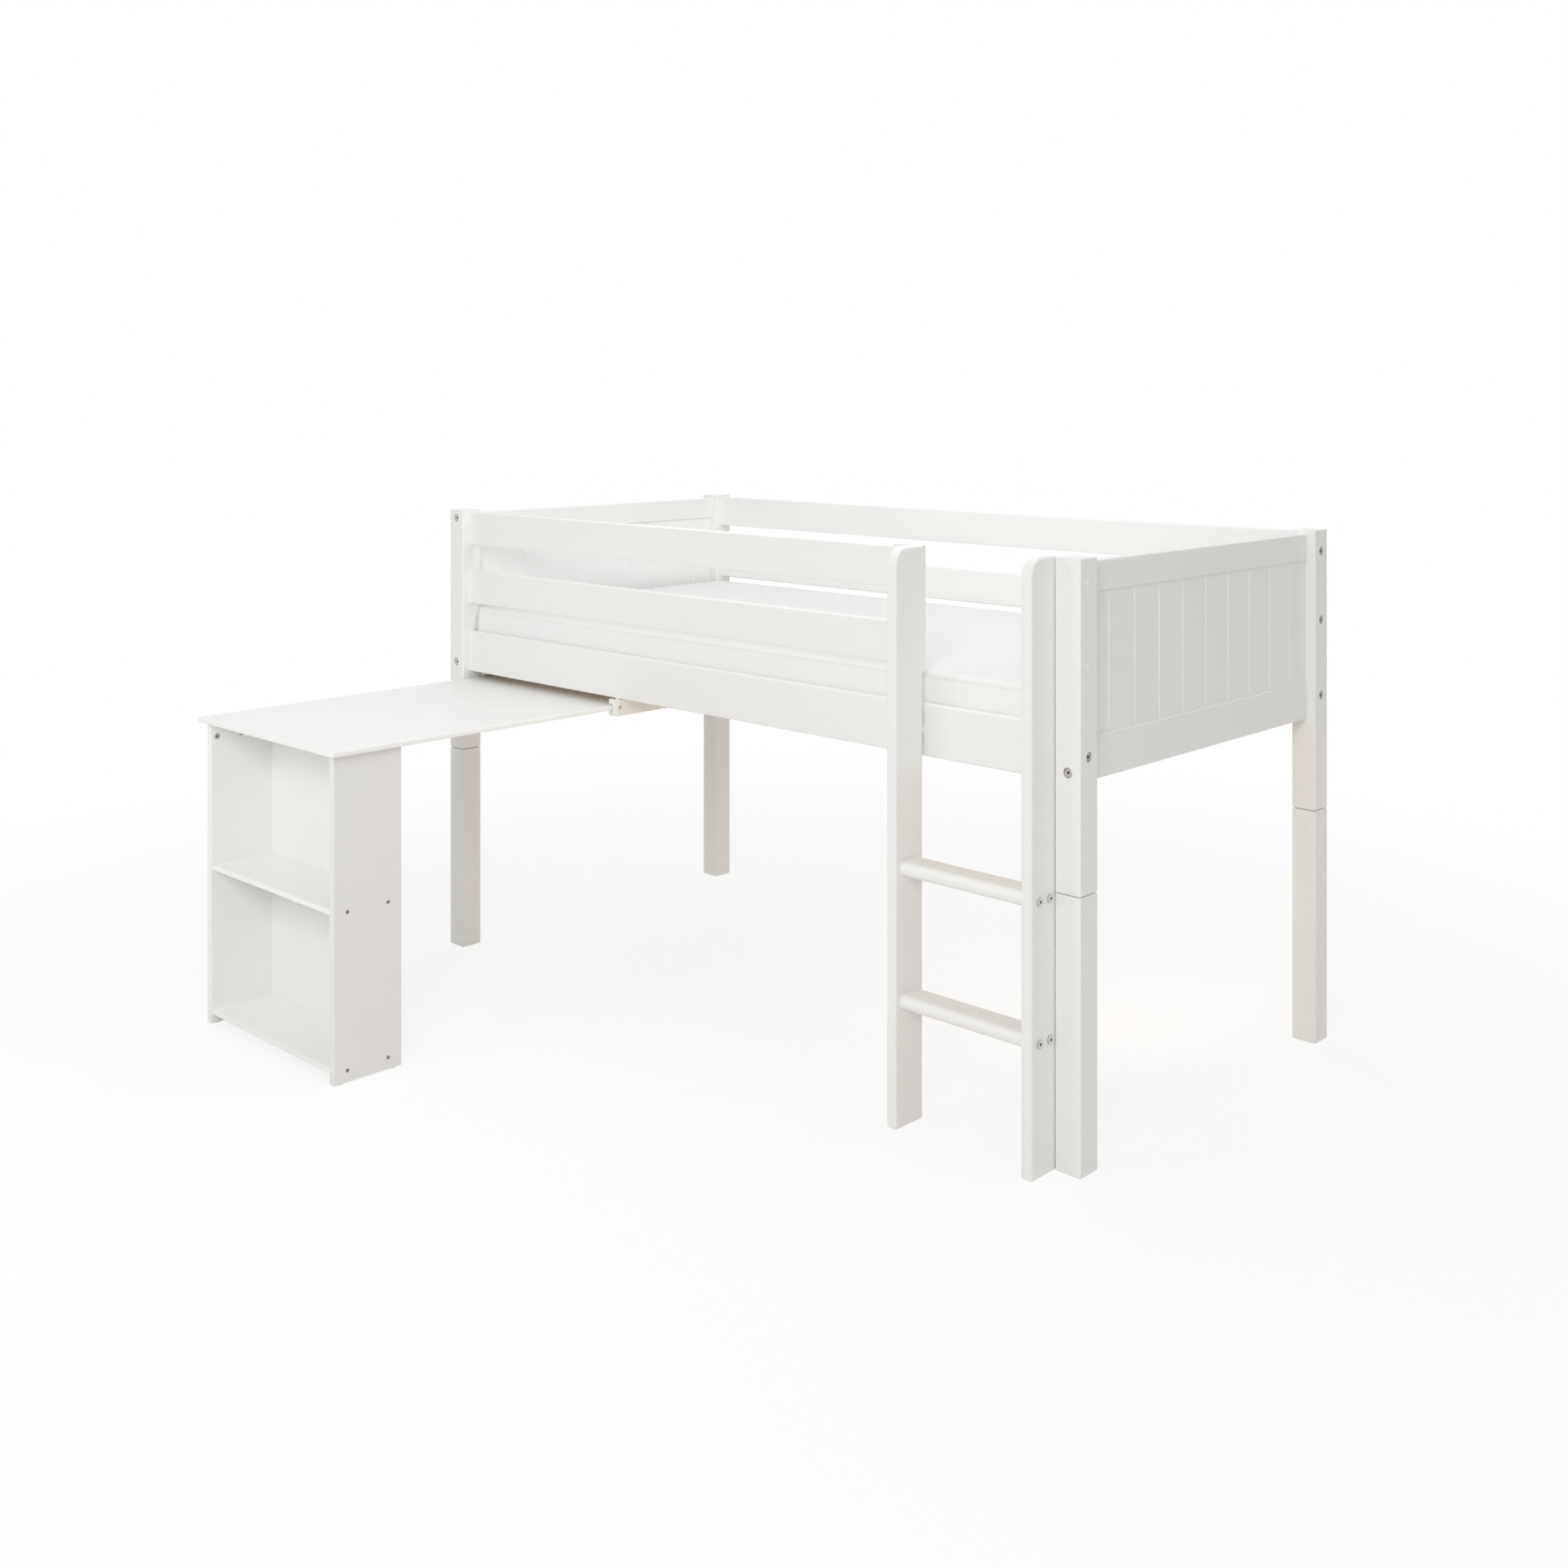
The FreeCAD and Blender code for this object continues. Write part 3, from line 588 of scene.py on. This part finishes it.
@dataclass(frozen=True)
class WovenCover:
    """White woven mattress cover: plain weave, slubs, slow changes of tone, a painted highlight on the edge
    and sides, and painted shade in the sewn groove.
    """

    colour: Colour = (0.91, 0.91, 0.90)
    valley: Colour = (0.845, 0.845, 0.83)
    # Greyer colour of the sewn groove: painted shade.
    groove_shade_colour: Colour = (0.88, 0.88, 0.865)
    # Lighter colour of the edge and sides: a painted highlight.
    cover_highlight: Colour = (0.965, 0.965, 0.957)
    cover_highlight_width: float = 0.012
    cover_highlight_tone: float = 0.8
    thread: float = 0.0011
    weave_tone: float = 0.35
    slub_stretch: Tuple[float, float, float] = (14.0, 160.0, 160.0)
    slub_span: Span = (0.5, 0.85)
    slub_tone: float = 0.25
    slub_height: float = 0.6
    cloud_tone: float = 0.2
    rough: float = 0.86
    sheen: float = 0.15
    sheen_rough: float = 0.5

    def material(self, name: str, middle: Sequence[float], half: Sequence[float], stitch_height: float,
                 stitch_width: float) -> bpy.types.Material:
        """Make the finish.

        The weave is the product of two sines, along x + z and along y + z, so that it runs over the top and
        down the sides without a seam. The edge and the sides are painted lighter, a painted highlight, and
        the sewn groove under the edge is painted greyer, a painted shade.

        Args:
            name: The piece's name.
            middle: Middle of the mattress in plan.
            half: Half its length and width.
            stitch_height: Height of the stitched groove.
            stitch_width: Half the groove's width.

        Returns:
            The material.
        """
        material, graph = new_material("cover_" + name)
        where = graph.place()
        x, y, z = graph.parts(where)
        turn = math.pi / self.thread
        warp = ((x + z) * turn).sine()
        weft = ((y + z) * turn).sine()
        weave = (warp * weft).lift()
        slubs = graph.noise(graph.place(self.slub_stretch), scale=2.0, detail=3.0)
        cloud = graph.noise(where, scale=2.6, detail=3.0)
        tone = (1.0 - weave) * self.weave_tone + slubs.step(*self.slub_span) * self.slub_tone
        colour = graph.mix(tone + cloud * self.cloud_tone, self.colour, self.valley)
        # Painted highlight: within the highlight width of the outline, the edge and the sides are lighter.
        ends, sides = [(value - float(centre)).size().step(float(reach) - self.cover_highlight_width, float(reach))
                       for value, centre, reach in zip((x, y), middle, half)]
        colour = graph.mix(ends.most(sides) * self.cover_highlight_tone, colour, self.cover_highlight)
        # Painted shade: the sewn groove is mixed towards the greyer colour.
        sewn = 1.0 - (z - stitch_height).size().step(0.0, stitch_width)
        colour = graph.mix(sewn, colour, self.groove_shade_colour)
        relief = graph.bump(weave + slubs * self.slub_height, depth=0.0004, strength=0.4)
        graph.surface(Base_Color=colour, Roughness=self.rough, Normal=relief, Sheen_Weight=self.sheen,
                      Sheen_Roughness=self.sheen_rough)
        return material


ZINC = Steel(colour=(0.46, 0.44, 0.41), spot=(0.30, 0.28, 0.25), metallic=1.0, rough=0.30)
BRIGHT_ZINC = replace(ZINC, colour=(0.68, 0.65, 0.60), spot=(0.50, 0.47, 0.42))
# The dark sockets and rim rings of these heads are painted shade.
RUNG_BOLT = Steel(colour=(0.80, 0.80, 0.78), spot=(0.70, 0.69, 0.67), metallic=0.0, rough=0.34,
                  along=Axis.X, head_radius=0.009, socket_radius=0.0031, rim=0.45)
# Painted shade: the rail bolts on the side faces keep a darker zinc than the end bolts, for the shade in
# their bores.
END_BOLT = replace(BRIGHT_ZINC, along=Axis.Y, head_radius=0.0095, socket_radius=0.0031, rim=0.45)
RAIL_BOLT = replace(ZINC, along=Axis.X, head_radius=0.0095, socket_radius=0.0036, rim=0.4)
CASE_SCREW = replace(ZINC, colour=(0.60, 0.57, 0.52), along=Axis.X, head_radius=0.005, socket_radius=0.0026)
CAM_LOCK = replace(BRIGHT_ZINC, along=Axis.X, head_radius=0.0075, socket_radius=0.003,
                   socket_shade=(0.14, 0.13, 0.12))
PLASTIC = MouldedPlastic(colour=(0.91, 0.91, 0.895), shade=(0.875, 0.875, 0.86))
FELT = Felt(colour=(0.84, 0.83, 0.80), shade=(0.72, 0.71, 0.68))
GRAIN_X, GRAIN_Y, GRAIN_Z = (Lacquer(axis) for axis in Axis)
# Painted light: a paler copy of the lacquer that brightens the left end panel inside the bed.
PAINTED_LIGHT_PANEL = replace(GRAIN_Z, colour=(0.958, 0.958, 0.948), shade=(0.93, 0.932, 0.915))
# Painted shade: a darker copy of the lacquer for the bookcase's right side.
SHADED_CASE_SIDE = replace(GRAIN_Z, colour=(0.83, 0.832, 0.816), shade=(0.778, 0.78, 0.761))
PINE_X, PINE_Y = BarePine(Axis.X), BarePine(Axis.Y)

Finish = Union[Lacquer, BarePine, Steel, MouldedPlastic, Felt]


@dataclass
class SubAssembly:
    """A group of CAD nodes with the finish of each."""

    label: str
    finishes: Dict[str, Finish]

    def dress(self) -> None:
        """Give each CAD node its finish."""
        for node, finish in self.finishes.items():
            low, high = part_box(node)
            material = finish.material(node, low, high)
            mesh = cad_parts[node].data
            mesh.materials.clear()
            mesh.materials.append(material)
            log.info("%s: %s in %s", self.label, node, type(finish).__name__)


def grid_faces(numbers: np.ndarray) -> np.ndarray:
    """Four-sided faces between the neighbours in a grid of point numbers, one face a row."""
    corners = numbers[:-1, :-1], numbers[1:, :-1], numbers[1:, 1:], numbers[:-1, 1:]
    return np.stack(corners, -1).reshape(-1, 4)


def quad_mesh(name: str, points: np.ndarray, faces: np.ndarray) -> bpy.types.Object:
    """Make a piece of four-sided faces.

    Args:
        name: The piece's name.
        points: One point a row, in metres.
        faces: Four point numbers a row.

    Returns:
        The new object, linked to the scene.
    """
    mesh = bpy.data.meshes.new(name)
    mesh.from_pydata(points, [], faces)
    mesh.update()
    made = bpy.data.objects.new(name, mesh)
    bpy.context.scene.collection.objects.link(made)
    return made


@dataclass
class Mattress:
    """Foam mattress in a white cover: flat panels and a side band that swell a little between sewn edges."""

    node: str = "mattress"
    body: str = "bed_frame"
    edge_height: float = 0.131
    seam_insets: Span = (0.001, 0.004)
    corner_radius: float = 0.007
    cell: float = 0.015
    edge_radius: float = 0.010
    arc_steps: int = 5
    stitch_drop: float = 0.014
    stitch_depth: float = 0.0006
    stitch_width: float = 0.0015
    crown: float = 0.003
    crown_power: int = 4
    band_rows: int = 9
    bulges: Span = (0.001, 0.004)
    held_rows: int = 2
    pressure: float = 4.0
    cloth_steps: int = 5
    frames: int = 20
    swell_cap: float = 0.002

    def __post_init__(self) -> None:
        """Take the place of the mattress from its CAD node."""
        low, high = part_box(self.node)
        self.middle = np.array([(low.x + high.x) / 2, (low.y + high.y) / 2])
        self.half = np.array([(high.x - low.x) / 2, (high.y - low.y) / 2]) - self.seam_insets
        self.low = low.z
        self.seam_high = low.z + self.edge_height

    def shares(self, half: float) -> np.ndarray:
        """Even steps across the mattress from -1 to 1."""
        return np.linspace(-1.0, 1.0, round(2 * half / self.cell))

    def plan(self, share: np.ndarray, outset: Union[float, np.ndarray]) -> np.ndarray:
        """Places in plan of points that are given as shares of the half sizes.

        Beyond a corner's centre the square is drawn in to a circle: the offset from that centre is
        scaled by its larger part over its length.

        Args:
            share: Points by two, from -1 to 1.
            outset: How far the outline is moved outwards, the same or one value for each way.

        Returns:
            Points by two, in metres.
        """
        flat = share * (self.half + outset)
        beyond = np.maximum(np.abs(flat) - (self.half - self.corner_radius), 0.0)
        length = np.linalg.norm(beyond, axis=-1, keepdims=True)
        drawn = beyond * beyond.max(-1, keepdims=True) / np.maximum(length, TINY)
        return np.sign(flat) * (np.abs(flat) - beyond + drawn) + self.middle

    def shape(self) -> Tuple[np.ndarray, np.ndarray, np.ndarray]:
        """Cover before it swells: a crowned top, a rounded edge, a band with a sewn groove, a flat bottom.

        The top rises by the crown times one less a power of the larger share. The edge is a quarter
        circle from the top panel to the band. Below the groove the band stands out by a parabola of its
        height.

        Returns:
            The points, the faces, and the numbers of the points that the sewing and the slats hold.
        """
        across = [self.shares(half) for half in self.half]
        share = np.stack(np.meshgrid(*across, indexing="ij"), -1)
        rows, columns = share.shape[:2]
        top = np.arange(rows * columns).reshape(rows, columns)
        bottom = top + top.size
        rim = np.concatenate([top[:-1, 0], top[-1, :-1], top[:0:-1, -1], top[0, :0:-1]])
        flat = share.reshape(-1, 2)
        rise = self.crown * (1.0 - np.abs(flat).max(-1) ** self.crown_power)
        panel = self.plan(flat, -self.edge_radius)
        turn = np.linspace(0.0, math.pi / 2, self.arc_steps + 1)[1:]
        sewn = self.edge_height - self.stitch_drop
        groove = [sewn + self.stitch_width, sewn]
        levels = np.linspace(sewn - self.stitch_width, self.cell, self.band_rows)
        heights = np.concatenate([self.edge_height - self.edge_radius * (1.0 - np.cos(turn)), groove, levels])
        fall = 1.0 - levels / levels[0]
        edge = np.concatenate([self.edge_radius * (np.sin(turn) - 1.0), [0.0, -self.stitch_depth]])
        swollen = 4 * fall * (1.0 - fall)
        outsets = np.concatenate([np.outer(edge, [1.0, 1.0]), np.outer(swollen, self.bulges)])
        blocks = [np.column_stack([panel, self.seam_high + rise]),
                  np.column_stack([self.plan(flat, 0.0), np.full_like(rise, self.low)])]
        for height, outset in zip(heights, outsets):
            ring = self.plan(flat[rim], outset)
            blocks.append(np.column_stack([ring, np.full(len(ring), self.low + height)]))
        band = 2 * top.size + np.arange(len(heights) * len(rim)).reshape(len(heights), -1)
        rings = np.concatenate([rim[None], band, bottom.ravel()[rim][None]])
        rings = np.concatenate([rings, rings[:, :1]], 1)
        faces = np.concatenate([grid_faces(top), grid_faces(bottom)[:, ::-1], grid_faces(rings)])
        hem = np.ones_like(top, bool)
        inside = slice(self.held_rows, -self.held_rows)
        hem[inside, inside] = False
        sewn_rows = self.arc_steps + len(groove) + 1
        held = np.concatenate([top[hem], bottom.ravel(), band[:sewn_rows].ravel(), band[-1]])
        return np.concatenate(blocks), faces, held

    def swell(self, piece: bpy.types.Object, rest: np.ndarray, held: np.ndarray) -> None:
        """Blow the cover up against its seams with a cloth simulation, and keep the result.

        No point may move further than the cap.

        Args:
            piece: The mattress mesh.
            rest: Its points before it swells.
            held: Numbers of the points that don't move.
        """
        group = piece.vertex_groups.new(name="held")
        group.add(held.tolist(), 1.0, "REPLACE")
        cloth = piece.modifiers.new("swell", "CLOTH")
        cloth.settings.vertex_group_mass = "held"
        cloth.settings.use_pressure = True
        cloth.settings.uniform_pressure_force = self.pressure
        cloth.settings.effector_weights.gravity = 0.0
        cloth.settings.quality = self.cloth_steps
        scene = bpy.context.scene
        for number in range(1, self.frames + 1):
            scene.frame_set(number)
        graph = bpy.context.evaluated_depsgraph_get()
        swollen = np.empty(rest.size)
        piece.evaluated_get(graph).data.vertices.foreach_get("co", swollen)
        move = swollen.reshape(-1, 3) - rest
        length = np.linalg.norm(move, axis=1, keepdims=True)
        move *= np.minimum(1.0, self.swell_cap / np.maximum(length, TINY))
        piece.modifiers.remove(cloth)
        scene.frame_set(1)
        piece.vertex_groups.remove(group)
        piece.data.vertices.foreach_set("co", (rest + move).ravel())
        piece.data.update()

    def build(self) -> bpy.types.Object:
        """Make the swollen cover.

        Returns:
            The cover, still without its cloth.
        """
        points, faces, held = self.shape()
        piece = quad_mesh("mattress_cover", points, faces)
        self.swell(piece, points, held)
        piece.data.polygons.foreach_set("use_smooth", np.ones(len(faces), bool))
        log.info("mattress: cover of %d points", len(points))
        return piece

    def dress(self, piece: bpy.types.Object) -> None:
        """Give the cover its cloth, and put it in the place of the CAD node.

        Args:
            piece: The cover.
        """
        stitch_height = self.seam_high - self.stitch_drop
        cover = WovenCover().material(piece.name, self.middle, self.half, stitch_height, self.stitch_width)
        piece.data.materials.append(cover)
        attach(piece, self.body)
        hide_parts(self.node)
        log.info("mattress: %s in %s", piece.name, WovenCover.__name__)


@dataclass(frozen=True)
class Softbox:
    """A square lamp that hangs at a place and faces another."""

    name: str
    place: Tuple[float, float, float]
    power: float
    size: float
    aim: Tuple[float, float, float] = (0.0, 0.0, 0.7)
    colour: Colour = WHITE


@dataclass
class Studio:
    """Pale floor, soft light and the camera."""

    camera_place: Tuple[float, float, float] = (2.9495, -2.9357, 1.5268)
    camera_turn: float = 0.766
    camera_lens: float = 39.56
    camera_sensor: float = 36.0
    camera_shift: float = -0.2487
    camera_reach: float = 200.0
    sky_above: float = 0.758
    sky_around: float = 0.303
    lamps: Tuple[Softbox, ...] = (
        Softbox("key", place=(2.8, -4.0, 3.0), power=66.5, size=1.6),
        Softbox("back", place=(-2.5, 2.5, 3.0), power=14.1, size=1.6),
        Softbox("bookcase_fill", place=(-0.6, -2.5, 1.5), power=7.2, size=0.8, aim=(-0.68, -0.8, 0.3)),
        Softbox("bed_fill", place=(0.5, 0.2, 2.5), power=8.3, size=1.0, aim=(-1.0, 0.4, 1.05)),
        Softbox("leg_fill", place=(0.9, 0.62, 0.5), power=2.1, size=0.4, aim=(-1.0, 0.9, 0.45),
                colour=(1.0, 0.82, 0.66)))
    floor_colour: Colour = (0.89, 0.86, 0.822)
    floor_reach: float = 30.0
    floor_lines: int = 13
    floor_glow: float = 0.8
    floor_fade: Span = (1.6, 3.4)
    mottle_tone: float = 0.2
    mottle_shade: float = 0.94

    def floor(self) -> None:
        """Pale floor that bounces warm light and that the camera sees as white with a soft shadow.

        The shadow fades out with the distance from the middle, the root of the squares of x and y.
        """
        steps = np.linspace(-self.floor_reach, self.floor_reach, self.floor_lines)
        x, y = np.meshgrid(steps, steps, indexing="ij")
        numbers = np.arange(x.size).reshape(x.shape)
        points = np.stack([x, y, np.zeros_like(x)], -1).reshape(-1, 3)
        piece = quad_mesh("studio_floor", points, grid_faces(numbers))
        material, graph = new_material("studio_floor")
        x_part, y_part, _ = graph.parts(graph.place())
        far = ((x_part * x_part + y_part * y_part) ** 0.5).step(*self.floor_fade)
        mottle = graph.noise(graph.place(), scale=1.7, detail=3.0)
        darker = tuple(value * self.mottle_shade for value in self.floor_colour)
        tint = graph.mix(mottle * self.mottle_tone, self.floor_colour, darker)
        bounce = graph.node("ShaderNodeBsdfDiffuse", {}, {"Color": tint})
        white = graph.node("ShaderNodeBsdfDiffuse", {}, {"Color": WHITE})
        glow = graph.node("ShaderNodeEmission", {}, {"Color": WHITE, "Strength": 1.0})
        share = self.floor_glow + far * (1.0 - self.floor_glow)
        shadowed = graph.node("ShaderNodeMixShader", {}, {0: share, 1: white, 2: glow})
        shown = graph.node("ShaderNodeMixShader", {}, {0: graph.seen(), 1: bounce, 2: shadowed})
        graph.node_out(shown, "ShaderNodeOutputMaterial")
        piece.data.materials.append(material)
        log.info("studio: %s", piece.name)

    def world(self) -> None:
        """Sky light that is set for overhead and for the horizon, shown to the camera as white."""
        world = bpy.data.worlds.new("studio")
        bpy.context.scene.world = world
        world.use_nodes = True
        graph = Graph(world.node_tree)
        _, _, height = graph.parts(graph.node("ShaderNodeTexCoord", output="Generated"))
        strength = height.most(0.0) * self.sky_above + (1.0 - height.size()) * self.sky_around
        sky = graph.node("ShaderNodeBackground", {}, {"Color": WHITE, "Strength": strength})
        white = graph.node("ShaderNodeBackground", {}, {"Color": WHITE, "Strength": 1.0})
        shown = graph.node("ShaderNodeMixShader", {}, {0: graph.seen(), 1: sky, 2: white})
        graph.node_out(shown, "ShaderNodeOutputWorld")

    def lamp(self, box: Softbox) -> None:
        """Hang a softbox, unseen by the camera.

        Args:
            box: The softbox.
        """
        light = bpy.data.lights.new(box.name, "AREA")
        light.energy = box.power
        light.color = box.colour
        light.shape = "SQUARE"
        light.size = box.size
        made = bpy.data.objects.new(box.name, light)
        made.location = box.place
        made.rotation_euler = (Vector(box.aim) - Vector(box.place)).to_track_quat("-Z", "Y").to_euler()
        made.visible_camera = False
        bpy.context.scene.collection.objects.link(made)
        log.info("studio: lamp %s", box.name)

    def camera(self) -> None:
        """Camera at the photograph's viewing angle: level, with its frame shifted down."""
        lens = bpy.data.cameras.new("camera")
        lens.sensor_width = self.camera_sensor
        lens.lens = self.camera_lens
        lens.shift_y = self.camera_shift
        lens.clip_end = self.camera_reach
        made = bpy.data.objects.new("camera", lens)
        made.location = self.camera_place
        made.rotation_euler = (math.pi / 2, 0.0, self.camera_turn)
        bpy.context.scene.collection.objects.link(made)
        bpy.context.scene.camera = made

    def build(self) -> None:
        """Set the whole studio up."""
        self.camera()
        self.floor()
        self.world()
        for box in self.lamps:
            self.lamp(box)
        bpy.context.scene.view_settings.view_transform = "Standard"


def assemblies() -> List[SubAssembly]:
    """The CAD nodes of the bed and the desk, group by group.

    Returns:
        The groups in the order in which they are dressed.
    """
    corners = [depth + "_" + side for depth in ("front", "rear") for side in ("left", "right")]
    uprights = {part + "_" + corner: GRAIN_Z for part in ("post", "leg") for corner in corners}
    rails = {depth + "_" + rail: GRAIN_X for depth in ("front", "rear")
             for rail in ("side_rail", "guard_low", "guard_high")}
    ends = {side + "_end_" + rail: GRAIN_Y for side in ("left", "right")
            for rail in ("top_rail", "bottom_rail")}
    panels = {"left_end_panel": PAINTED_LIGHT_PANEL, "right_end_panel": GRAIN_Z}
    case_sides = {"bookcase_left_side": GRAIN_Z, "bookcase_right_side": SHADED_CASE_SIDE, "bookcase_back": GRAIN_Z}
    shelves = {"bookcase_" + board: GRAIN_X for board in ("middle_shelf", "bottom_shelf")}
    low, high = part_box("rear_guard_low")
    rail_bolt = replace(RAIL_BOLT, levels=((low.z + high.z) / 2,))
    steel = ("leg_studs", "leg_nuts", "insert_nuts", "guard_screws", "ledger_screws", "slat_screws",
             "rung_nuts", "ladder_mount_bolts", "ladder_mount_nuts", "runner_bolts", "runner_nuts",
             "cam_bolts")
    plastic = ("leg_caps", "bolt_caps", "ladder_spacers", "runner_spacers")
    return [
        SubAssembly("corner posts", uprights),
        SubAssembly("side rails", {**rails, "guard_end_cleat": GRAIN_Z}),
        SubAssembly("ends", {**ends, **panels}),
        SubAssembly("slat base", {"slats": PINE_Y, "slat_ledger_front": PINE_X, "slat_ledger_rear": PINE_X,
                                  "rail_dowels": PINE_X}),
        SubAssembly("ladder", {"ladder_stringer_left": GRAIN_Z, "ladder_stringer_right": GRAIN_Z,
                               "ladder_rung_1": GRAIN_X, "ladder_rung_2": GRAIN_X, "rung_bolts": RUNG_BOLT}),
        SubAssembly("desk", {"desk_runner_left": GRAIN_Y, "desk_runner_right": GRAIN_Y, "desk_top": GRAIN_Y,
                             **case_sides, **shelves, "floor_pads": FELT}),
        SubAssembly("desk fasteners", {"shelf_screws": CASE_SCREW, "cam_locks": CAM_LOCK}),
        SubAssembly("corner bolts", {"end_bolts": END_BOLT, "rail_bolts": rail_bolt}),
        SubAssembly("fasteners", {node: ZINC for node in steel}),
        SubAssembly("caps", {node: PLASTIC for node in plastic}),
    ]


def main() -> None:
    """Build the pieces and the studio in order."""
    logging.basicConfig(level=logging.INFO, format="%(message)s")
    Studio().build()
    for group in assemblies():
        group.dress()
    mattress = Mattress()
    mattress.dress(mattress.build())


if __name__ == "__main__":
    main()
